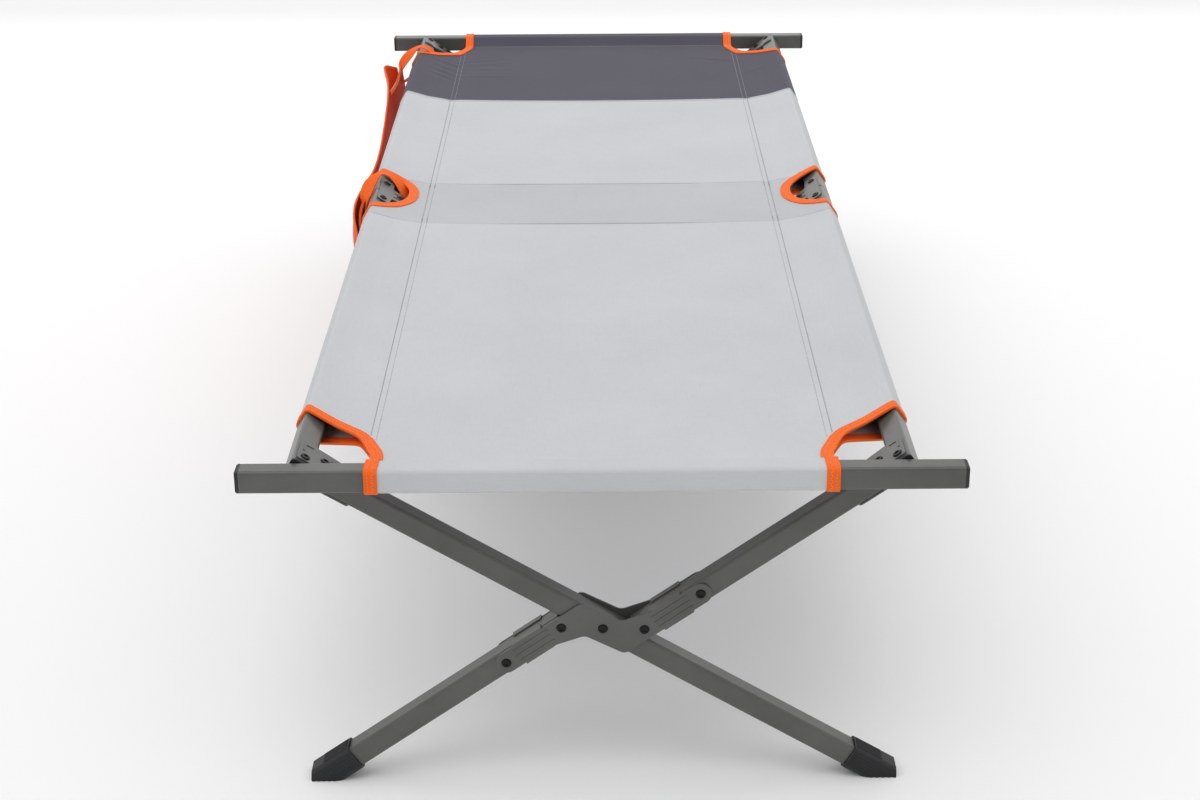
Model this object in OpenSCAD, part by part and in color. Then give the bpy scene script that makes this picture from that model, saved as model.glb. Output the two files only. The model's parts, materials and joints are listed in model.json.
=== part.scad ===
// Folding cot: three X leg frames, two side rails in halves, two end bars and a sewn deck.
// +X is the sleeper's left to right seen from the foot end, +Y runs to the head, +Z is up.
// The origin is on the floor, under the middle of the deck.

/* [Overall] */
// Distance between the centres of the two end bars
bar_spacing = 1950; // [1850:10:2000]
// Length of each end bar, over its caps
bar_length = 760; // [750:5:800]
// Distance from the middle plane to each side rail's centre
rail_x = 318; // [312:1:324]
// Height of the rails' and bars' centres above the floor
rail_z = 382; // [378:1:388]
// Height of the leg pivots above the floor
pivot_z = 190; // [188:1:193]

/* [Tubes] */
// Outer size of every square tube
tube = 25; // [25:0.5:26]
// Outer corner radius of the tubes
tube_corner = 3.5; // [3:0.1:4]
// Wall thickness of the tubes
tube_wall = 1.2; // [1:0.1:1.5]
// Gap between the end bar's back face and the rail's plug
bar_gap = 0.4; // [0.3:0.1:0.6]

/* [Leg frames] */
// Distance from an end bar's centre to the nearest leg frame's plane
end_frame_inset = 38; // [36:1:40]
// Sideways step of the Z-shaped leg's tubes from the pivot
leg_offset = 27; // [27:0.5:28]
// Distance along the Z-leg from the pivot to its inner plate rivet
inner_rivet = 36; // [35:1:38]
// Distance along the Z-leg from the pivot to its outer plate rivet
outer_rivet = 110; // [106:1:114]
// Thickness of the pressed plates, gussets and brackets
plate = 2; // [1.6:0.2:2.4]
// Running gap between a pivot plate and the tube that turns beside it
plate_gap = 0.3; // [0.3:0.1:0.5]

/* [Deck] */
// Height of the deck's top face above the rails' centres
deck_rise = 2; // [1:0.5:4]
// Thickness of the deck's cloth
cloth = 1.8; // [1.6:0.1:2.2]
// Distance from the middle plane to the sleeve seams
seam_x = 251; // [246:1:256]
// Half of the width of the sleeves round the end bars
bar_sleeve_half = 247; // [244:1:250]
// Length of the dark band at the head, from the head bar's centre
head_band = 425; // [380:5:460]
// Width of the binding tape on the cut-outs
tape = 13; // [10:1:15]

/* [Hidden] */
$fn = 48;

STEEL = [0.36, 0.365, 0.36];
BLACK = [0.13, 0.14, 0.15];
GREY_CLOTH = [0.78, 0.79, 0.81];
BAND_CLOTH = [0.38, 0.37, 0.42];
ORANGE = [0.98, 0.39, 0.18];

half = tube / 2;
bar_y = bar_spacing / 2;
rise = rail_z - pivot_z;
reach = norm([rail_x, rise]);
straight_tilt = atan2(rise, rail_x);
z_tilt = straight_tilt + asin(leg_offset / reach);
z_reach = sqrt(pow(reach, 2) - pow(leg_offset, 2));
frame_y = bar_y - end_frame_inset;
FOOT = -1;
MIDDLE = 0;
HEAD = 1;

plug_flange = 3;
plug_spigot = 16;
rail_end = bar_y - half - bar_gap - plug_flange;
rail_joint_gap = 3;
leg_end_gap = 1;
bar_cap = 4;
cap_edge = 1.2;
cap_spigot = 14;
spigot_gap = 0.2;
stud_r = 6.5;
stud_height = 3.5;
stud_tip_r = 2;
stud_hole_r = 8.5;

pivot_r = 4;
pivot_hole_r = 4.1;
rivet_r = 3;
rivet_hole_r = 3.1;
head_r = 5.5;
head_height = 1.6;
head_taper = 0.9;
rib_width = 2.2;
rib_height = 0.7;
end_rivet = 12;
joint_rivet = 34;
plate_face = half + plate_gap + plate;

// Distances from the pivot, along a leg, to the floor and to the top of its foot
foot_top = 318;
foot_wall = 2.2;
foot_clearance = 0.2;
foot_outer_x = 326;

// ---------------------------------------------------------------- outlines

// Points of a corner at b, between a and c, rounded to radius r
function corner(a, b, c, r, steps = 6) =
    let (
        u = (a - b) / norm(a - b),
        v = (c - b) / norm(c - b),
        turn = acos(u * v),
        run = r / tan(turn / 2),
        m = (u + v) / norm(u + v),
        centre = b + m * (r / sin(turn / 2)),
        start = b + u * run - centre,
        end = b + v * run - centre,
        sweep = acos(max(-1, min(1, start * end / (r * r))))
    )
    r <= 0 ? [b] : [for (i = [0 : steps])
        centre + (start * sin(sweep * (1 - i / steps)) + end * sin(sweep * i / steps)) / sin(sweep)];

// Outline through points [x, y, radius], each corner rounded to its radius
function rounded(p) =
    let (n = len(p))
    [for (i = [0 : n - 1]) each corner(xy(p[(i + n - 1) % n]), xy(p[i]), xy(p[(i + 1) % n]), p[i][2])];

function xy(p) = [p[0], p[1]];

module rounded_square(size, r) {
    square([size, size - 2 * r], center = true);
    square([size - 2 * r, size], center = true);
    for (x = [-1, 1], y = [-1, 1])
        translate([x, y] * (size / 2 - r)) circle(r);
}

module tube_section() {
    difference() {
        rounded_square(tube, tube_corner);
        rounded_square(tube - 2 * tube_wall, tube_corner - tube_wall);
    }
}

// Extrudes a section along local X, and along Y
module along_x(from, to) {
    translate([from, 0, 0]) rotate([90, 0, 90]) linear_extrude(to - from) children();
}

module along_y(from, to) {
    translate([0, from, 0]) rotate([-90, 0, 0]) linear_extrude(to - from) children();
}

// ---------------------------------------------------------------- frames of reference

// Local X runs from the pivot up the leg to its rail, and local Z is square to the leg
module left_upper(end) {
    translate([0, end * frame_y, pivot_z]) mirror([1, 0, 0]) rotate([0, -straight_tilt, 0]) children();
}

module right_upper(end) {
    translate([0, end * frame_y, pivot_z]) rotate([0, -z_tilt, 0])
        translate([0, 0, -leg_offset]) children();
}

// The same, turned half a turn about the pivot, so local X runs down the leg to its foot
module right_lower(end) {
    translate([0, end * frame_y, pivot_z]) rotate([0, 180, 0]) mirror([1, 0, 0])
        rotate([0, -straight_tilt, 0]) children();
}

module left_lower(end) {
    translate([0, end * frame_y, pivot_z]) rotate([0, 180 - z_tilt, 0])
        translate([0, 0, -leg_offset]) children();
}

// The rails' own frames, with local Z square to their tilted top faces
module right_rail_frame() {
    translate([rail_x, 0, rail_z]) rotate([0, -z_tilt, 0]) children();
}

module left_rail_frame() {
    translate([-rail_x, 0, rail_z]) mirror([1, 0, 0]) rotate([0, -straight_tilt, 0]) children();
}

// ---------------------------------------------------------------- fasteners

// A rivet along local Z, centred, that holds a stack of the given thickness
module rivet(grip, shaft_r) {
    cylinder(h = grip, r = shaft_r, center = true);
    for (s = [0, 1]) mirror([0, 0, s]) translate([0, 0, grip / 2]) difference() {
        cylinder(h = head_height, r1 = head_r, r2 = head_r - head_taper);
        translate([0, 0, head_height - head_taper]) cylinder(h = head_height, r = head_r / 2);
    }
}

// Places of a gusset's rivets and of a bracket's: X from the rail's centre down the leg, Y along it
function gusset_spots(end) = [[0, end * end_rivet], [-22, 0], [-38, 0]];

function bracket_spots() = [[0, -joint_rivet], [0, joint_rivet], [-24, 0], [-44, 0]];

// ---------------------------------------------------------------- end bars

module bar(end) {
    color(STEEL) difference() {
        translate([0, end * bar_y, rail_z])
            along_x(-bar_length / 2 + bar_cap, bar_length / 2 - bar_cap) tube_section();
        for (x = [-rail_x, rail_x])
            translate([x, end * (bar_y - half - 1), rail_z]) rotate([-90 * end, 0, 0])
                cylinder(h = tube_wall + 2, r = stud_hole_r);
    }
}

module bar_caps(end) {
    inside = tube - 2 * tube_wall - 2 * spigot_gap;
    color(BLACK) for (s = [-1, 1])
        translate([s * bar_length / 2, end * bar_y, rail_z]) mirror([s > 0 ? 1 : 0, 0, 0]) {
            along_x(cap_edge, bar_cap) rounded_square(tube, tube_corner);
            along_x(0, cap_edge) rounded_square(tube - 2, tube_corner - 1);
            along_x(bar_cap, bar_cap + cap_spigot)
                rounded_square(inside, tube_corner - tube_wall - spigot_gap);
        }
}

// ---------------------------------------------------------------- side rails

// Half a rail in its own frame, with the holes of its gusset and bracket
module half_rail(end) {
    color(STEEL) difference() {
        mirror([0, end < 0 ? 1 : 0, 0]) along_y(rail_joint_gap / 2, rail_end) tube_section();
        for (y = [frame_y + end_rivet, joint_rivet])
            translate([0, end * y, 0]) cylinder(h = tube + 2, r = rivet_hole_r, center = true);
    }
}

// The plugs at a rail's two outer ends, each with the low stud that centres the end bar.
// The gusset's end rivet passes through the plug and holds it.
module rail_plugs() {
    inside = tube - 2 * tube_wall - 2 * spigot_gap;
    color(BLACK) for (end = [0, 1]) mirror([0, end, 0]) {
        along_y(rail_end, rail_end + plug_flange) rounded_square(tube, tube_corner);
        difference() {
            along_y(rail_end - plug_spigot, rail_end)
                rounded_square(inside, tube_corner - tube_wall - spigot_gap);
            translate([0, frame_y + end_rivet, 0])
                cylinder(h = tube + 2, r = rivet_hole_r, center = true);
        }
        translate([0, rail_end + plug_flange, 0]) rotate([-90, 0, 0])
            cylinder(h = stud_height, r1 = stud_r, r2 = stud_tip_r);
    }
}

// ---------------------------------------------------------------- legs

module leg_holes(spots) {
    for (p = spots) translate([p[0], p[1], 0]) cylinder(h = tube + 2, r = rivet_hole_r, center = true);
}

// A gusset's or bracket's rivets that pass through the leg, whose rail is at the given distance
function leg_spots(end, at) =
    [for (p = end == MIDDLE ? bracket_spots() : gusset_spots(end)) if (p[0] < 0) [at + p[0], p[1]]];

module cross_hole(x, r) {
    translate([x, 0, 0]) rotate([90, 0, 0]) cylinder(h = tube + 2, r = r, center = true);
}

// The straight leg of a frame, from the left rail to the right foot
module straight_leg(end) {
    color(STEEL) left_upper(end) difference() {
        along_x(-foot_end(0, straight_tilt), reach - half - leg_end_gap) tube_section();
        cross_hole(0, pivot_hole_r);
        leg_holes(leg_spots(end, reach));
    }
}

// The room that the straight leg needs where it passes a Z-leg's inner end
passing_gap = 1.5;
inner_end = 10;

module straight_leg_room() {
    size = [300, 2 * tube, tube + 2 * passing_gap];
    rotate([0, straight_tilt + z_tilt, 0]) translate(-size / 2) cube(size);
}

module z_tube(from, to) {
    difference() {
        along_x(from, to) tube_section();
        cross_hole(inner_rivet, rivet_hole_r);
        cross_hole(outer_rivet, rivet_hole_r);
        translate([0, 0, leg_offset]) straight_leg_room();
    }
}

module z_leg_upper(end) {
    color(STEEL) right_upper(end) difference() {
        z_tube(inner_rivet - inner_end, z_reach - half - leg_end_gap);
        leg_holes(leg_spots(end, z_reach));
    }
}

module z_leg_lower(end) {
    color(STEEL) left_lower(end) z_tube(inner_rivet - inner_end, foot_end(leg_offset, z_tilt));
}

// Distance along a leg at which its tube stops inside the foot
foot_sole = 26;
function foot_end(offset, tilt) = (pivot_z + offset * cos(tilt)) / sin(tilt) - foot_sole;

// A foot over a leg's lower end, ribbed lengthwise, cut flat at the floor and square at its outer side
foot_rib = 1.6;
foot_rib_pitch = 3.4;
foot_rib_height = 0.7;
foot_rib_from = foot_top + 2.5;
foot_rib_to = foot_top + 35;

module foot(offset, tilt) {
    outside = tube + 2 * foot_clearance + 2 * foot_wall;
    length = foot_end(offset, tilt);
    difference() {
        intersection() {
            union() {
                along_x(foot_top, length + 70) rounded_square(outside, tube_corner + foot_wall);
                for (i = [-2.5 : 2.5]) {
                    along_x(foot_rib_from, length + 70) translate([0, i * foot_rib_pitch])
                        square([outside + 2 * foot_rib_height, foot_rib], center = true);
                    along_x(foot_rib_from, foot_rib_to) translate([i * foot_rib_pitch, 0])
                        square([foot_rib, outside + 2 * foot_rib_height], center = true);
                }
            }
            // the quarter space above the floor and inside the foot's outer side
            translate([0, 0, offset]) rotate([0, tilt, 0]) translate([-400, -50, -200])
                cube([400 + foot_outer_x, 100, 200 + pivot_z]);
        }
        along_x(foot_top - 1, length + foot_clearance)
            rounded_square(tube + 2 * foot_clearance, tube_corner);
    }
}

module left_feet() {
    color(BLACK) for (end = [FOOT, MIDDLE, HEAD])
        left_lower(end) foot(leg_offset, z_tilt);
}

module right_feet() {
    color(BLACK) for (end = [FOOT, MIDDLE, HEAD])
        right_lower(end) foot(0, straight_tilt);
}

// ---------------------------------------------------------------- pivot plates

// Corners of half of the S-shaped plate, along and across the Z-leg: [along, across, radius]
plate_arm = 12;
function half_plate() = let (o = leg_offset, a = plate_arm, tip = outer_rivet + a) [
    [-1.6, o + a, 9], [-tip, o + a, a - 0.1], [-tip, o - a, a - 0.1], [-58, o - a, 12], [-21, 4.5, 12],
];

module plate_outline() {
    p = half_plate();
    polygon(rounded(concat(p, [for (q = p) [-q[0], -q[1], q[2]]])));
}

// A pivot plate in its frame's middle, on the front side (-1) or the back side (1)
module pivot_plate(end, side) {
    inner = half + plate_gap;
    color(STEEL) translate([0, end * frame_y, pivot_z]) rotate([0, -z_tilt, 0])
        mirror([0, side < 0 ? 1 : 0, 0]) difference() {
            union() {
                translate([0, inner + plate, 0]) rotate([90, 0, 0]) linear_extrude(plate) plate_outline();
                for (s = [0, 1])
                    rotate([0, 180 * s, 0]) translate([0, 0, -leg_offset]) plate_arm_details(inner);
            }
            rotate([-90, 0, 0]) cylinder(h = 2 * tube, r = rivet_hole_r + 1);
            for (s = [0, 1], x = [inner_rivet, outer_rivet])
                rotate([0, 180 * s, 0]) translate([x, 0, -leg_offset])
                    rotate([-90, 0, 0]) cylinder(h = 2 * tube, r = rivet_hole_r);
        }
}

// Pressed ribs and the two ears that fold over the tube, between an arm's two rivets
arm_rib = 46;
ear_length = 38;
ear_depth = 8;
ear_gap = 0.2;

module plate_arm_details(inner) {
    ear = plate * 0.6;
    fold = half + ear_gap + ear;
    translate([(inner_rivet + outer_rivet) / 2, inner, 0]) {
        for (z = [-7, 0, 7])
            translate([-arm_rib / 2, plate - 0.2, z - rib_width / 2])
                cube([arm_rib, rib_height + 0.2, rib_width]);
        for (s = [0, 1]) mirror([0, 0, s]) translate([-ear_length / 2, 0, 0]) {
            translate([0, plate - ear_depth, fold - ear]) cube([ear_length, ear_depth, ear]);
            translate([0, 0, plate_arm - 1]) cube([ear_length, plate, fold - plate_arm + 1]);
        }
    }
}

module pivot_rivets() {
    color(BLACK) for (end = [FOOT, MIDDLE, HEAD])
        translate([0, end * frame_y, pivot_z]) rotate([90, 0, 0]) rivet(2 * plate_face, pivot_r);
}

module plate_rivets(end) {
    color(BLACK) translate([0, end * frame_y, pivot_z]) rotate([0, -z_tilt, 0])
        for (s = [0, 1], x = [inner_rivet, outer_rivet])
            rotate([0, 180 * s, 0]) translate([x, 0, -leg_offset]) rotate([90, 0, 0])
                rivet(2 * plate_face, rivet_r);
}

// ---------------------------------------------------------------- gussets and brackets

bracket_half = 46;

// A gusset's outline, with X from the rail's centre out and Y from the leg's plane to the near bar
function gusset_points() = [
    [9, 20, 4], [9, -22, 5], [-12, -22, 4], [-66, -12, 5], [-66, 11, 5], [-24, 11, 8], [-14, 20, 5],
];

// A low pressed rib on a plate's upper face
module rib(x, y, length, width) {
    translate([x, y, plate - 0.2]) cube([length, width, rib_height + 0.2]);
}

module gusset_plate(end) {
    difference() {
        mirror([0, end < 0 ? 1 : 0, 0]) {
            linear_extrude(plate) polygon(rounded(gusset_points()));
            rib(-6.5, -18, 11, rib_width);
            rib(2.5, -18, rib_width, 16);
            rib(-52, -8.5, 24, rib_width);
        }
        for (p = gusset_spots(end))
            translate([p[0], p[1], -1]) cylinder(h = plate + 2, r = rivet_hole_r);
    }
}

// A T-shaped bracket over the joint of the two rail halves, with its arm down the middle leg
function bracket_points() = [
    [9, bracket_half, 7], [9, -bracket_half, 7], [-11, -bracket_half, 7], [-12, -22, 6], [-40, -12, 10],
    [-62, -12, 5], [-62, 12, 5], [-40, 12, 10], [-12, 22, 6], [-11, bracket_half, 7],
];

module bracket_plate() {
    difference() {
        union() {
            linear_extrude(plate) polygon(rounded(bracket_points()));
            for (y = [-9, 7]) rib(-56, y, 42, rib_width);
        }
        for (p = bracket_spots())
            translate([p[0], p[1], -1]) cylinder(h = plate + 2, r = rivet_hole_r);
    }
}

// Puts a plate on a tube's top face or bottom face
module on_face(bottom) {
    mirror([0, 0, bottom ? 1 : 0]) translate([0, 0, half + 0.05]) children();
}

module right_plate(end, bottom) {
    color(STEEL) right_upper(end) translate([z_reach, 0, 0]) on_face(bottom) plate_for(end);
}

module left_plate(end, bottom) {
    color(STEEL) left_upper(end) translate([reach, 0, 0]) on_face(bottom) plate_for(end);
}

module plate_for(end) {
    if (end == MIDDLE) bracket_plate();
    else gusset_plate(end);
}

module face_rivets(spots) {
    for (p = spots) translate([p[0], p[1], 0]) rivet(tube + 2 * plate + 0.1, rivet_r);
}

module right_rivets(ends) {
    color(BLACK) for (end = ends) right_upper(end) translate([z_reach, 0, 0])
        face_rivets(end == MIDDLE ? bracket_spots() : gusset_spots(end));
}

module left_rivets(ends) {
    color(BLACK) for (end = ends) left_upper(end) translate([reach, 0, 0])
        face_rivets(end == MIDDLE ? bracket_spots() : gusset_spots(end));
}

// ---------------------------------------------------------------- deck

sleeve_gap = 0.4;
seam_depth = 3;
seam_opening = 1.2;
bar_seam = 24;
tape_extra = 0.4;
corner_cut = 147;
middle_cut = 80;
seam_y = bar_y - head_band;

// Section of a sleeve round a square bar at the origin, tilted, joined at a seam on its inner side.
// seam is [distance inward, height] of the seam from the bar's centre, and grow is the cloth's side.
// A tilted rail's inner top corner lies under the straight run from its ridge to the seam.
RAIL_CORNERS = [[1, 1], [1, -1], [-1, -1]];
BAR_CORNERS = [[-1, 1], [1, 1], [1, -1], [-1, -1]];

function sleeve_points(corners, tilt, seam, seam_half, grow) =
    let (h = half + grow)
    concat(
        [[-seam[0], seam[1] + seam_half]],
        [for (c = corners) turned(c * h, tilt)],
        [[-seam[0], seam[1] - seam_half]]
    );

function turned(p, a) = [p[0] * cos(a) - p[1] * sin(a), p[0] * sin(a) + p[1] * cos(a)];

module sleeve(corners, tilt, seam, extra) {
    inner_seam = [seam[0] - seam_depth, seam[1]];
    difference() {
        polygon(sleeve_points(corners, tilt, seam, cloth / 2 + extra, sleeve_gap + cloth + extra));
        polygon(sleeve_points(corners, tilt, inner_seam, seam_opening / 2, sleeve_gap - extra / 2));
    }
}

deck_middle = deck_rise - cloth / 2;

module rail_sleeve(side, tilt, extra) {
    translate([side * rail_x, 0, rail_z]) mirror([side < 0 ? 1 : 0, 0, 0])
        rotate([90, 0, 0]) linear_extrude(2 * rail_end, center = true)
            sleeve(RAIL_CORNERS, tilt, [rail_x - seam_x, deck_middle], extra);
}

module bar_sleeve(end, extra) {
    translate([0, end * bar_y, rail_z]) mirror([0, end < 0 ? 1 : 0, 0])
        rotate([90, 0, 90]) linear_extrude(2 * bar_sleeve_half + 1, center = true)
            sleeve(BAR_CORNERS, 0, [half + bar_seam, deck_middle], extra);
}

// All of the deck's cloth, with no cut-outs; extra thickens it on both sides
module whole_cloth(extra) {
    rail_sleeve(1, z_tilt, extra);
    rail_sleeve(-1, straight_tilt, extra);
    for (end = [FOOT, HEAD]) bar_sleeve(end, extra);
    panel_y = bar_y - half - bar_seam + 1;
    translate([-seam_x - 1, -panel_y, rail_z + deck_rise - cloth - extra])
        cube([2 * seam_x + 2, 2 * panel_y, cloth + 2 * extra]);
}

// The four corner cut-outs and the two middle ones, seen from above; grow widens them
module corner_cut_outline(grow) {
    g = grow;
    polygon(rounded([
        [bar_sleeve_half - g, -40, 0], [bar_sleeve_half - 2 - g, 52, 50],
        [262 - g, 98 + g, 32], [336, corner_cut + g, 0], [420, corner_cut + 20 + g, 0], [420, -40, 0],
    ]));
}

module middle_cut_outline(grow) {
    g = grow;
    polygon(rounded([
        [279 - g, -46 - g / 2, 34], [279 - g, 46 + g / 2, 34], [326, middle_cut + g, 40],
        [420, middle_cut + 10 + g, 0], [420, -middle_cut - 10 - g, 0], [326, -middle_cut - g, 40],
    ]));
}

module cut_outs(grow) {
    for (sx = [0, 1]) mirror([sx, 0, 0]) translate([0, 0, rail_z - 60]) linear_extrude(120) {
        for (sy = [0, 1]) mirror([0, sy, 0])
            translate([0, bar_y, 0]) mirror([0, 1, 0]) corner_cut_outline(grow);
        middle_cut_outline(grow);
    }
}

// Where the middle legs pass up through the cloth's lower layer
module leg_passages() {
    width = tube + 14;
    for (sx = [0, 1]) mirror([sx, 0, 0])
        translate([seam_x + 6, -width / 2, rail_z - 61]) cube([80, width, 60]);
}

// Everything on the foot side or the head side of the band's seam
module side_of_seam(head) {
    translate([-500, head ? seam_y : seam_y - 3000, 0]) cube([1000, 3000, 1000]);
}

module deck() {
    color(GREY_CLOTH) difference() {
        whole_cloth(0);
        cut_outs(tape);
        leg_passages();
        side_of_seam(true);
    }
}

module head_band_cloth() {
    color(BAND_CLOTH) difference() {
        whole_cloth(0);
        cut_outs(tape);
        side_of_seam(false);
    }
}

// Tape folded over the cut-outs' edges
module edge_bindings() {
    color(ORANGE) difference() {
        intersection() {
            whole_cloth(tape_extra);
            cut_outs(tape - 0.05);
        }
        cut_outs(0);
        leg_passages();
    }
}

// ---------------------------------------------------------------- pouch on the left rail

pouch_from = -88;
pouch_to = 858;
pouch_cloth = 1.6;
pouch_depth = 110;
pouch_mouth = 24;
pouch_rise = 6;
pouch_hang = rail_x + half + 9;
strap_width = 20;
strap_cloth = 1.4;
strap_gap = 0.3;

// A long pocket, open along its top, that hangs beside the left rail
module pouch() {
    color(ORANGE) difference() {
        pouch_body(0, rail_z + pouch_rise);
        pouch_body(pouch_cloth, rail_z + pouch_rise + 1);
    }
}

module pouch_body(i, top) {
    far = pouch_hang + pouch_mouth;
    bottom = rail_z + pouch_rise - pouch_depth;
    waist = rail_z - 40;
    translate([0, pouch_to - i, 0]) rotate([90, 0, 0]) linear_extrude(pouch_to - pouch_from - 2 * i)
        polygon([
            [-pouch_hang - i, top], [-far + i, top], [-far + i, waist], [-pouch_hang - 18 + i, bottom + i],
            [-pouch_hang - 4 - i, bottom + i], [-pouch_hang - i, waist],
        ]);
}

// Webbing loops that go round the left rail, where the cut-outs bare it
module pouch_straps() {
    inside = tube + 2 * strap_gap;
    color(ORANGE) left_rail_frame() for (y = [57, 866])
        along_y(y - strap_width / 2, y + strap_width / 2) difference() {
            rounded_square(inside + 2 * strap_cloth, tube_corner + strap_cloth);
            rounded_square(inside, tube_corner);
        }
}

// ---------------------------------------------------------------- nodes

bar(FOOT);  // foot_bar
bar_caps(FOOT);  // foot_bar_caps
bar(HEAD);  // head_bar
bar_caps(HEAD);  // head_bar_caps
right_rail_frame() half_rail(FOOT);  // right_rail_foot
right_rail_frame() half_rail(HEAD);  // right_rail_head
left_rail_frame() half_rail(FOOT);  // left_rail_foot
left_rail_frame() half_rail(HEAD);  // left_rail_head
right_rail_frame() rail_plugs();  // right_rail_plugs
left_rail_frame() rail_plugs();  // left_rail_plugs
straight_leg(FOOT);  // straight_leg_foot
straight_leg(MIDDLE);  // straight_leg_middle
straight_leg(HEAD);  // straight_leg_head
z_leg_lower(FOOT);  // z_leg_lower_foot
z_leg_lower(MIDDLE);  // z_leg_lower_middle
z_leg_lower(HEAD);  // z_leg_lower_head
z_leg_upper(FOOT);  // z_leg_upper_foot
z_leg_upper(MIDDLE);  // z_leg_upper_middle
z_leg_upper(HEAD);  // z_leg_upper_head
pivot_plate(FOOT, -1);  // pivot_plate_foot_front
pivot_plate(FOOT, 1);  // pivot_plate_foot_back
pivot_plate(MIDDLE, -1);  // pivot_plate_middle_front
pivot_plate(MIDDLE, 1);  // pivot_plate_middle_back
pivot_plate(HEAD, -1);  // pivot_plate_head_front
pivot_plate(HEAD, 1);  // pivot_plate_head_back
pivot_rivets();
plate_rivets(FOOT);  // plate_rivets_foot
plate_rivets(MIDDLE);  // plate_rivets_middle
plate_rivets(HEAD);  // plate_rivets_head
right_plate(FOOT, false);  // right_gusset_foot_top
right_plate(FOOT, true);  // right_gusset_foot_bottom
right_plate(HEAD, false);  // right_gusset_head_top
right_plate(HEAD, true);  // right_gusset_head_bottom
left_plate(FOOT, false);  // left_gusset_foot_top
left_plate(FOOT, true);  // left_gusset_foot_bottom
left_plate(HEAD, false);  // left_gusset_head_top
left_plate(HEAD, true);  // left_gusset_head_bottom
right_plate(MIDDLE, false);  // right_middle_bracket_top
right_plate(MIDDLE, true);  // right_middle_bracket_bottom
left_plate(MIDDLE, false);  // left_middle_bracket_top
left_plate(MIDDLE, true);  // left_middle_bracket_bottom
right_rivets([FOOT, HEAD]);  // right_gusset_rivets
left_rivets([FOOT, HEAD]);  // left_gusset_rivets
right_rivets([MIDDLE]);  // right_bracket_rivets
left_rivets([MIDDLE]);  // left_bracket_rivets
left_feet();
right_feet();
deck();
head_band_cloth();
edge_bindings();
pouch();
pouch_straps();
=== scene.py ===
"""Folding cot: cloth, bindings, stitching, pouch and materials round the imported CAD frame."""

import json
import math
import random

import bmesh
import bpy
import numpy as np
from mathutils import Matrix, Vector


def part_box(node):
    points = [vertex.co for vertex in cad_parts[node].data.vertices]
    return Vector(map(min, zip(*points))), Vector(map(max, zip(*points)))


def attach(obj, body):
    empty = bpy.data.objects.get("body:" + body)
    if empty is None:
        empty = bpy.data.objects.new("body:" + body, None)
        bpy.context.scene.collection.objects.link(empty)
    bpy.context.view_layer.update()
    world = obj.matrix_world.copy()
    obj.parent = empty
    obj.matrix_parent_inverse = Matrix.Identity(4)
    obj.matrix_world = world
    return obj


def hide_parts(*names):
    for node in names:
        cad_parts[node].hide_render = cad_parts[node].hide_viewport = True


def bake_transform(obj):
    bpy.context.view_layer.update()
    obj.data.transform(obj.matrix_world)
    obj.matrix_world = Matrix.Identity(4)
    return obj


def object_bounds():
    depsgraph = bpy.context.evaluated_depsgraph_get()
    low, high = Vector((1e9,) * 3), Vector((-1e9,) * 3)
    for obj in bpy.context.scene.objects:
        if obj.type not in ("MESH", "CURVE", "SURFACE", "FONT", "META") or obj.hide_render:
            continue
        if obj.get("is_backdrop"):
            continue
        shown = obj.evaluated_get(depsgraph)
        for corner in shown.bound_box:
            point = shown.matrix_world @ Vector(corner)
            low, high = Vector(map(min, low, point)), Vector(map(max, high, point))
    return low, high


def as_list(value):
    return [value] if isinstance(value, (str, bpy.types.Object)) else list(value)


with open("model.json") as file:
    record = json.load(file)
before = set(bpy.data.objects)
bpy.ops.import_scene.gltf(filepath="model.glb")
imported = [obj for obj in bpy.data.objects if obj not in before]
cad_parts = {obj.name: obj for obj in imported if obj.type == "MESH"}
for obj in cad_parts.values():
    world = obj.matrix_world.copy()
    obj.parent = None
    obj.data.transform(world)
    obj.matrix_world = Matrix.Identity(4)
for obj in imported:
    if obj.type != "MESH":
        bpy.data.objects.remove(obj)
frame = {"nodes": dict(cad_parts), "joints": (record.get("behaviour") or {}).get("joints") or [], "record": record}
cad_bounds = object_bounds()

MM = 0.001
Z_FRAME, STRAIGHT_FRAME = "z_frame", "straight_frame"

# ------------------------------------------------------------ sizes read from the frame


def centre(node):
    low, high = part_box(node)
    return (Vector(low) + Vector(high)) / 2


RAIL = centre("right_rail_foot")
RAIL_X, RAIL_Z = RAIL.x, RAIL.z
BAR_Y = abs(centre("foot_bar").y)
FOLD = next(j for j in frame["joints"] if j["name"] == "fold")
PIVOT_Z = FOLD["pos_m"][2]
bar_low, bar_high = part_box("foot_bar")
HALF = (bar_high[2] - bar_low[2]) / 2
LEG_OFFSET = 27 * MM
STRAIGHT_TILT = math.atan2(RAIL_Z - PIVOT_Z, RAIL_X)
Z_TILT = STRAIGHT_TILT + math.asin(LEG_OFFSET / math.hypot(RAIL_X, RAIL_Z - PIVOT_Z))

CLOTH = 0.7 * MM
CLOTH_GAP = 0.7 * MM
CORNER_R = 4.6 * MM
SEAM_X = 251 * MM
SEAM_STEP = 7 * MM
BAR_SEAM = 24 * MM
INNER_Y = BAR_Y - HALF - BAR_SEAM
PANEL_Z = RAIL_Z + 1.1 * MM
SEAM_Y = BAR_Y - 425 * MM
TAPE = 14 * MM
TAPE_THICK = 2.4 * MM
TAPE_SHIFT = 0.5
TAPE_ROWS = (4 * MM, 9.3 * MM)
TAPE_LIFT = TAPE_THICK * (1 + TAPE_SHIFT) / 2 + 0.05 * MM
DOUBLE_BAND = (-120 * MM, 70 * MM)
SIDE_ROWS = (SEAM_X, SEAM_X - SEAM_STEP)
SLEEVE_ROW = INNER_Y - 3 * MM
GRID = 5 * MM
LEG_PASSAGE = 19.5 * MM

# ------------------------------------------------------------ outlines


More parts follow.
